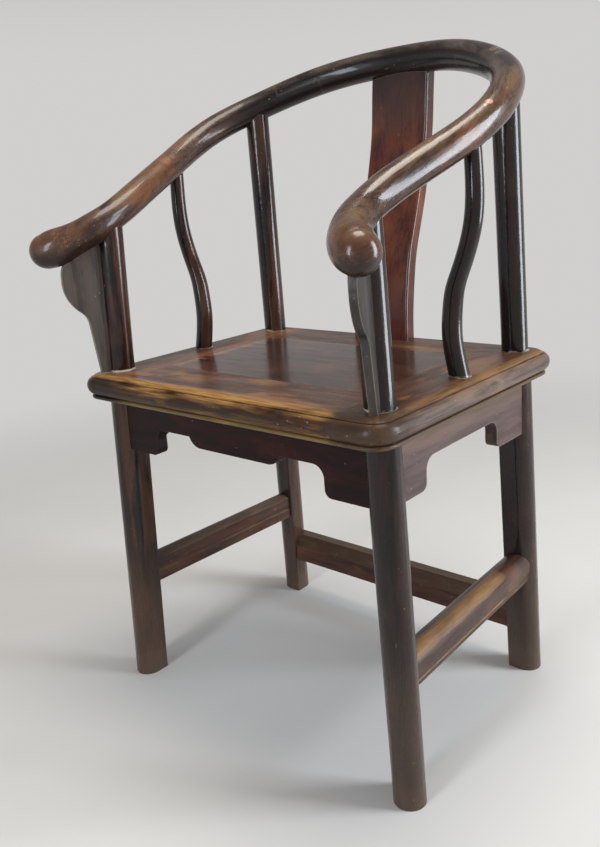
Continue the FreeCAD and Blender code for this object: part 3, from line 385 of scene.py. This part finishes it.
def seat_worn(name, axis):
    wood = Wood(name, axis, seed=1.3)
    pen = wood.pen
    seat_y = pen.minus(pen.y, SEAT_MIDDLE)
    across = pen.minus(SEAT_HALF_WIDTH, pen.math("ABSOLUTE", pen.x))
    along = pen.minus(SEAT_HALF_DEPTH, pen.math("ABSOLUTE", seat_y))
    inset = pen.math("MINIMUM", across, along)
    front = pen.ramp(seat_y, -0.150, -0.175)
    right = pen.times(pen.ramp(pen.x, 0.200, 0.225), pen.ramp(front, 0.5, 0.9, 1.0, 0.0))
    top = pen.ramp(pen.facing(UP), 0.80, 0.97)
    near_corner = pen.spot(SEAT_CORNER, 0.062, wood.patch, 0.2)

    colour = pen.mix(top, seat_nose(wood, right), seat_flat(wood))
    strip = gold_strip(wood, inset, front, right, near_corner)
    gold = pen.mix(pen.ramp(wood.fibre, 0.35, 0.65), tone(136, 94, 50), tone(176, 134, 78))
    colour = pen.mix(pen.times(strip, pen.ramp(wood.figure, 0.30, 0.52, 0.35, 1.0)), colour, gold)
    colour = seat_mouldings(wood, colour, inset, right)
    colour = seat_rubbing(wood, colour, across, top)
    corner = pen.times(near_corner, pen.ramp(wood.patch, 0.36, 0.60, 0.45, 0.90))
    corner_tone = pen.mix(wood.figure, tone(48, 35, 30), tone(86, 66, 52))
    colour = pen.mix(corner, colour, corner_tone)
    left_end = pen.times(pen.ramp(pen.x, -0.150, -0.215), pen.ramp(inset, 0.0140, 0.0085))
    dim = pen.mix(wood.figure, tone(12, 8, 7), tone(36, 23, 18))
    colour = pen.mix(pen.times(left_end, 0.92), colour, dim)

    colour = seat_fillers(wood, colour, top)
    for centre, size in SEAT_DOTS:
        colour = pen.mix(pen.spot(centre, size, wood.speck), colour, tone(214, 198, 184))
    colour = wood.specks(colour, tone(170, 134, 90), 0.71)
    roughness = pen.larger(wood.gloss(0.28, 0.48), pen.times(strip, 0.40))
    return pen.finish(
        colour, roughness, wood.height(0.9, 1.0),
        depth=0.0008, gloss=0.20, coat=0.08, coat_roughness=0.15,
    )


def seat_flat(wood):
    """The top of the rails."""
    pen = wood.pen
    flat = wood.body(tone(62, 40, 30), tone(90, 60, 43), tone(112, 70, 44))
    amount = pen.ramp(wood.blotch, 0.40, 0.66, 0.1, 0.58)
    return wood.wear(flat, amount, tone(124, 86, 56), tone(146, 106, 66))


def seat_nose(wood, right):
    """The rounded edge, brown in front and greyer on the right side."""
    pen = wood.pen
    nose = wood.body(tone(32, 19, 13), tone(68, 42, 26), tone(108, 71, 39))
    streak = pen.shifted(wood.figure, wood.fibre, 0.3)
    nose = pen.mix(pen.ramp(streak, 0.47, 0.57), nose, tone(40, 25, 18))
    grey_nose = wood.body(tone(72, 56, 50), tone(104, 86, 77), tone(130, 108, 92))
    return pen.mix(right, nose, grey_nose)


def gold_strip(wood, inset, front, right, near_corner):
    """Where the edge is rubbed to bare wood: along the front, and faintly on the right."""
    pen = wood.pen
    strip = pen.band(pen.shifted(inset, wood.figure, 0.034), 0.007, 0.024, 0.006)
    strip = pen.times(strip, pen.plus(pen.times(front, 0.95), pen.times(right, 0.3)))
    return pen.times(strip, pen.ramp(near_corner, 0.0, 1.0, 1.0, 0.3))


def seat_mouldings(wood, colour, inset, right):
    """Dark quirk and groove and the paler bead under them."""
    pen = wood.pen
    quirk = pen.times(pen.band(inset, 0.0065, 0.0105, 0.001), pen.ramp(pen.z, 0.508, 0.5115))
    quirk = pen.times(quirk, pen.ramp(wood.patch, 0.42, 0.62, 0.0, 0.7))
    colour = pen.mix(quirk, colour, tone(58, 38, 24))
    bead = pen.times(pen.ramp(pen.z, 0.4875, 0.4855), pen.ramp(wood.patch, 0.35, 0.55, 0.5, 0.9))
    colour = pen.mix(bead, colour, pen.mix(right, tone(106, 92, 60), tone(88, 70, 52)))
    groove = pen.band(pen.z, 0.4865, 0.4885, 0.0008)
    return pen.mix(pen.times(groove, 0.8), colour, tone(34, 22, 16))


def seat_rubbing(wood, colour, across, top):
    """Pale seams at the joints and a rubbed line beside the panel on the left."""
    pen = wood.pen
    seam = pen.times(pen.edges(0.0016), top, pen.ramp(wood.patch, 0.44, 0.64, 0.0, 0.7))
    colour = pen.mix(seam, colour, tone(148, 102, 78))
    from_panel = pen.minus(across, SEAT_HALF_WIDTH - OPENING_HALF_WIDTH)
    rubbed = pen.times(pen.band(from_panel, -0.020, 0.002, 0.006), pen.ramp(pen.x, -0.1, -0.12))
    rubbed = pen.times(rubbed, pen.ramp(wood.patch, 0.36, 0.60), top)
    return pen.mix(pen.times(rubbed, 0.7), colour, tone(138, 88, 62))


def seat_fillers(wood, colour, top):
    """Filler round the foot of each post and along the left spandrel."""
    pen = wood.pen
    uneven = pen.ramp(wood.patch, 0.44, 0.58)
    for place, radius in (
        (FRONT_POST, FILLER_RADIUS), (REAR_POST, FILLER_RADIUS), (SIDE_POST, SIDE_FILLER_RADIUS),
    ):
        for side in (-1, 1):
            colour = filler_ring(pen, colour, (place[0] * side, place[1]), radius, uneven, top)
    return filler_line(pen, colour, (-FRONT_POST[0], FRONT_POST[1]), SPANDREL_TURN, uneven, top)


def filler_ring(pen, colour, centre, radius, uneven, top):
    """Pale filler pressed into the gap round the foot of a post."""
    offset = pen.add("ShaderNodeVectorMath", operation="DISTANCE")
    pen.give(offset.inputs[0], pen.join(pen.x, pen.y, 0.0))
    offset.inputs[1].default_value = (centre[0], centre[1] + SEAT_MIDDLE, 0.0)
    ring = pen.band(offset.outputs["Value"], radius - 0.002, radius + 0.0016, 0.0006)
    return pen.mix(pen.times(ring, uneven, top), colour, tone(186, 172, 156))


def filler_line(pen, colour, centre, turn, uneven, top):
    """Pale filler on both sides of the foot of a spandrel that points out from a post."""
    way = -math.sin(turn), -math.cos(turn)
    x = pen.minus(pen.x, centre[0])
    y = pen.minus(pen.y, centre[1] + SEAT_MIDDLE)
    along = pen.plus(pen.times(x, way[0]), pen.times(y, way[1]))
    aside = pen.math("ABSOLUTE", pen.minus(pen.times(y, way[0]), pen.times(x, way[1])))
    sides = pen.times(pen.band(aside, 0.0040, 0.0078, 0.0006), pen.band(along, 0.014, 0.0345, 0.001))
    end = pen.times(pen.band(along, 0.0310, 0.0350, 0.0006), pen.band(aside, -0.01, 0.0075, 0.001))
    share = pen.times(pen.larger(sides, end), pen.ramp(uneven, 0.0, 1.0, 0.45, 1.0), top)
    return pen.mix(share, colour, tone(190, 174, 162))


def seat_panel_brown(name, axis):
    wood = Wood(name, axis, seed=2.1)
    pen = wood.pen
    colour = wood.body(tone(48, 32, 26), tone(64, 43, 34), tone(80, 50, 37))
    across = pen.minus(OPENING_HALF_WIDTH, pen.math("ABSOLUTE", pen.x))
    along = pen.minus(OPENING_HALF_DEPTH, pen.math("ABSOLUTE", pen.minus(pen.y, SEAT_MIDDLE)))
    inset = pen.math("MINIMUM", across, along)
    rim = pen.ramp(pen.shifted(inset, wood.patch, 0.03), 0.001, 0.007, 1.0, 0.0)
    rim = pen.times(rim, pen.ramp(wood.patch, 0.42, 0.62, 0.1, 0.7))
    colour = pen.mix(rim, colour, tone(124, 78, 60))
    left = pen.ramp(pen.shifted(across, wood.patch, 0.03), 0.004, 0.026, 1.0, 0.0)
    left = pen.times(left, pen.ramp(pen.x, -0.1, -0.12), pen.ramp(wood.figure, 0.35, 0.6), 0.8)
    colour = pen.mix(left, colour, tone(142, 90, 68))
    colour = wood.specks(colour, tone(120, 88, 66), 0.73)
    roughness = wood.gloss(0.12, 0.26)
    return pen.finish(
        colour, roughness, wood.height(0.25, 0.5),
        depth=0.0006, gloss=0.10, coat=0.06, coat_roughness=0.06,
    )


def apron_red(name, axis):
    wood = Wood(name, axis, seed=2.9)
    pen = wood.pen
    colour = wood.body(tone(19, 6, 6), tone(32, 11, 9), tone(50, 18, 14))
    # Paler rubbed edges all along; on the right bracket they are stronger, as a painted highlight along
    # its edges.
    edge = pen.times(pen.edges(0.0022), pen.ramp(wood.patch, 0.40, 0.62))
    right_bracket_highlight = pen.ramp(pen.x, 0.12, 0.16)
    share = pen.times(edge, pen.plus(0.45, pen.times(right_bracket_highlight, 0.45)))
    colour = pen.mix(share, colour, tone(120, 74, 56))
    colour = wood.specks(colour, tone(116, 76, 64), 0.73)
    return pen.finish(
        colour, wood.gloss(0.34, 0.52), wood.height(0.4, 0.6),
        depth=0.0006, gloss=0.14, coat=0.04, coat_roughness=0.2,
    )


def apron_grey(name, axis):
    wood = Wood(name, axis, seed=3.7)
    pen = wood.pen
    colour = wood.body(tone(66, 49, 47), tone(87, 68, 65), tone(104, 82, 70))
    high = pen.ramp(pen.shifted(pen.z, wood.figure, 0.04), 0.448, 0.470)
    colour = pen.mix(pen.times(high, 0.5), colour, tone(112, 90, 72))
    edge = pen.times(pen.edges(0.0026), pen.ramp(wood.patch, 0.34, 0.58))
    colour = pen.mix(pen.times(edge, 0.7), colour, tone(146, 128, 112))
    colour = wood.specks(colour, tone(142, 120, 106), 0.72)
    return pen.finish(
        colour, wood.gloss(0.36, 0.55), wood.height(0.5, 0.6),
        depth=0.0006, gloss=0.25, coat=0.05, coat_roughness=0.25,
    )


def splat_red(name, axis):
    wood = Wood(name, axis, seed=4.3)
    pen = wood.pen
    colour = wood.body(tone(60, 26, 19), tone(90, 44, 28), tone(110, 58, 33))
    high = pen.ramp(pen.shifted(pen.z, wood.figure, 0.10), 0.81, 0.90)
    colour = pen.mix(pen.times(high, 0.85), colour, tone(40, 27, 26))
    low = pen.ramp(pen.z, 0.68, 0.56)
    colour = pen.mix(pen.times(low, 0.7), colour, tone(66, 24, 21))
    colour = pen.mix(pen.times(pen.edges(0.002), 0.5), colour, tone(116, 78, 60))
    colour = wood.specks(colour, tone(130, 84, 60), 0.73)
    return pen.finish(
        colour, wood.gloss(0.24, 0.40), wood.height(0.4, 0.8),
        depth=0.0006, gloss=0.25, coat=0.42, coat_roughness=0.08,
    )


RIGHT_SPANDREL_DOT = 0.2378, -0.1990, 0.5544


def spandrel_grey(name, axis):
    wood = Wood(name, axis, seed=5.1)
    pen = wood.pen
    # Painted light and shade: the left spandrel gets a lighter lit tone, the right one a darker shaded
    # tone.
    painted_light_left = pen.ramp(pen.x, 0.05, -0.05)
    deep = pen.mix(painted_light_left, tone(40, 35, 33), tone(58, 51, 47))
    middle = pen.mix(painted_light_left, tone(57, 51, 47), tone(80, 72, 66))
    colour = wood.body(deep, middle, tone(84, 73, 64))
    edge = pen.times(pen.edges(0.0022), pen.ramp(wood.patch, 0.30, 0.55))
    colour = pen.mix(pen.times(edge, 0.75), colour, tone(146, 132, 116))
    dot = pen.spot(RIGHT_SPANDREL_DOT, 0.0024, wood.speck)
    colour = pen.mix(dot, colour, tone(224, 222, 218))
    colour = wood.specks(colour, tone(150, 136, 120), 0.73)
    return pen.finish(
        colour, wood.gloss(0.30, 0.46), wood.height(0.5, 0.7),
        depth=0.0006, gloss=0.30, coat=0.12, coat_roughness=0.18,
    )


def stretcher_worn(name, axis):
    wood = Wood(name, axis, seed=5.9)
    pen = wood.pen
    colour = wood.body(tone(46, 27, 22), tone(72, 45, 33), tone(90, 56, 38))
    if axis == "y":
        right = pen.ramp(pen.x, -0.05, 0.05)
        worn = pen.mix(right, tone(80, 64, 55), tone(112, 84, 60))
        raw = pen.mix(right, tone(100, 82, 68), tone(142, 106, 70))
    else:
        worn, raw = tone(66, 49, 37), tone(90, 69, 50)
    top = pen.ramp(pen.facing(UP), 0.15, 0.75)
    if axis == "y":
        facing_out = pen.shifted(pen.facing(RIGHT), wood.figure, 0.5)
        outer = pen.ramp(facing_out, -0.45, -0.10)
        before_rear_leg = pen.ramp(pen.y, 0.12, 0.07)
        top = pen.times(top, pen.larger(pen.minus(1.0, right), pen.times(outer, before_rear_leg)))
    colour = wood.wear(colour, pen.times(top, 0.80), worn, raw)
    edge = pen.times(pen.edges(0.002), pen.ramp(wood.patch, 0.34, 0.60))
    colour = pen.mix(pen.times(edge, 0.6), colour, tone(148, 114, 78))
    colour = wood.specks(colour, tone(150, 120, 86), 0.72)
    return pen.finish(
        colour, wood.gloss(0.28, 0.50), wood.height(0.8, 0.9),
        depth=0.0007, gloss=0.25, coat=0.10, coat_roughness=0.18,
    )


def raw_wood(name, axis):
    wood = Wood(name, axis, seed=6.7)
    pen = wood.pen
    colour = wood.body(tone(92, 66, 44), tone(122, 92, 62), tone(136, 100, 66))
    colour = wood.specks(colour, tone(90, 64, 44), 0.70)
    return pen.finish(
        colour, wood.gloss(0.55, 0.75), wood.height(1.0, 0.5),
        depth=0.0006, gloss=0.3, coat=0.0, coat_roughness=0.3,
    )


FINISHES = {
    "lacquer_dark": lacquer_dark,
    "crest_worn": crest_worn,
    "seat_worn": seat_worn,
    "seat_panel_brown": seat_panel_brown,
    "apron_red": apron_red,
    "apron_grey": apron_grey,
    "splat_red": splat_red,
    "spandrel_grey": spandrel_grey,
    "stretcher_worn": stretcher_worn,
    "raw_wood": raw_wood,
}
GRAIN = {
    "seat_front_rail": "x", "seat_back_rail": "x", "seat_panel": "x", "front_apron": "x",
    "back_apron": "x", "back_stretcher": "x", "seat_left_rail": "y", "seat_right_rail": "y",
    "left_apron": "y", "right_apron": "y", "left_stretcher": "y", "right_stretcher": "y",
    "left_seat_batten": "y", "right_seat_batten": "y", "crest_rail_back": "bent",
    "crest_rail_left_arm": "bent", "crest_rail_right_arm": "bent", "crest_rail_wedges": "bent",
}


def dress():
    finished = {}
    for name, node in nodes.items():
        key = slot_of[name], GRAIN.get(name, "z")
        if key not in finished:
            finished[key] = FINISHES[key[0]]("%s_%s" % key, key[1])
        node.data.materials.clear()
        node.data.materials.append(finished[key])


# Studio: pale floor, plain pale surround and three soft lamps

PALE = (0.63, 0.625, 0.615, 1.0)
DIM = (0.25, 0.255, 0.27, 1.0)
FLOOR_RADIUS = 14.0
FLOOR_SIDES = 96


def seen_directly(tree):
    """One for rays from the camera, a reflection or a transmission, zero for light on the floor."""
    path = tree.nodes.new("ShaderNodeLightPath")
    seen = path.outputs["Is Camera Ray"]
    for kind in ("Is Glossy Ray", "Is Transmission Ray"):
        node = tree.nodes.new("ShaderNodeMath")
        node.operation = "MAXIMUM"
        tree.links.new(seen, node.inputs[0])
        tree.links.new(path.outputs[kind], node.inputs[1])
        seen = node.outputs[0]
    return seen


def add_floor():
    """A matte floor that keeps the shadow and far off takes the tone of the surround."""
    pen = Pen("floor_matte")
    pen.shader.inputs["Roughness"].default_value = 0.95
    pen.shader.inputs["Specular IOR Level"].default_value = 0.1
    mottle = pen.noise(pen.place, 3.0, 2.0)
    pen.give(pen.shader.inputs["Base Color"], pen.mix(mottle, tone(206, 203, 199), tone(212, 209, 205)))
    glow = pen.add("ShaderNodeEmission")
    glow.inputs["Color"].default_value = PALE
    reach = pen.math("SQRT", pen.plus(pen.times(pen.x, pen.x), pen.times(pen.y, pen.y)))
    far = pen.times(pen.ramp(reach, 0.75, 2.3), seen_directly(pen.tree))
    blend = pen.add("ShaderNodeMixShader")
    pen.give(blend.inputs[0], far)
    pen.tree.links.new(pen.shader.outputs[0], blend.inputs[1])
    pen.tree.links.new(glow.outputs[0], blend.inputs[2])
    pen.tree.links.new(blend.outputs[0], pen.tree.nodes["Material Output"].inputs["Surface"])
    mesh = bpy.data.meshes.new("floor")
    turns = [math.tau * side / FLOOR_SIDES for side in range(FLOOR_SIDES)]
    rim = [(FLOOR_RADIUS * math.cos(turn), FLOOR_RADIUS * math.sin(turn), 0.0) for turn in turns]
    mesh.from_pydata(rim, [], [list(range(FLOOR_SIDES))])
    mesh.materials.append(pen.material)
    floor = bpy.data.objects.new("floor", mesh)
    bpy.context.scene.collection.objects.link(floor)


def add_surround():
    """Pale at the horizon, dimmer above, so that the lacquer keeps its depth."""
    world = bpy.data.worlds.new("studio")
    bpy.context.scene.world = world
    world.use_nodes = True
    tree = world.node_tree
    way = tree.nodes.new("ShaderNodeTexCoord")
    parts = tree.nodes.new("ShaderNodeSeparateXYZ")
    tree.links.new(way.outputs["Generated"], parts.inputs[0])
    rise = tree.nodes.new("ShaderNodeMapRange")
    rise.interpolation_type = "SMOOTHSTEP"
    rise.inputs["From Min"].default_value = 0.12
    rise.inputs["From Max"].default_value = 0.50
    tree.links.new(parts.outputs[2], rise.inputs["Value"])
    blend = tree.nodes.new("ShaderNodeMix")
    blend.data_type = "RGBA"
    tree.links.new(rise.outputs[0], blend.inputs[MIX_SHARE])
    blend.inputs[MIX_FIRST].default_value = PALE
    blend.inputs[MIX_SECOND].default_value = DIM
    tree.links.new(blend.outputs[MIX_RESULT], tree.nodes["Background"].inputs["Color"])


def add_lamp(name, toward, distance, aim, width, height, watts, colour):
    data = bpy.data.lights.new(name, "AREA")
    data.shape = "RECTANGLE"
    data.size, data.size_y = width, height
    data.energy = watts
    data.color = colour
    lamp = bpy.data.objects.new(name, data)
    lamp.location = Vector(aim) + Vector(toward).normalized() * distance
    lamp.rotation_euler = (Vector(aim) - lamp.location).to_track_quat("-Z", "Y").to_euler()
    bpy.context.scene.collection.objects.link(lamp)


add_camera()
add_floor()
add_surround()
add_lamp(
    "side_window", toward=(0.86, 0.46, 0.10), distance=2.2, aim=(0.1, 0.05, 0.85),
    width=0.75, height=2.0, watts=74, colour=(0.86, 0.93, 1.0),
)
add_lamp(
    "front_window", toward=(0.02, -0.97, 0.24), distance=2.6, aim=(0, 0, 0.6),
    width=0.5, height=1.5, watts=34, colour=(0.88, 0.94, 1.0),
)
add_lamp(
    "ceiling", toward=(0.06, 0.10, 1.0), distance=2.2, aim=(0, 0, 0.6),
    width=1.1, height=1.1, watts=38, colour=(1.0, 0.95, 0.86),
)
dress()

bpy.context.scene.view_settings.view_transform = "Standard"
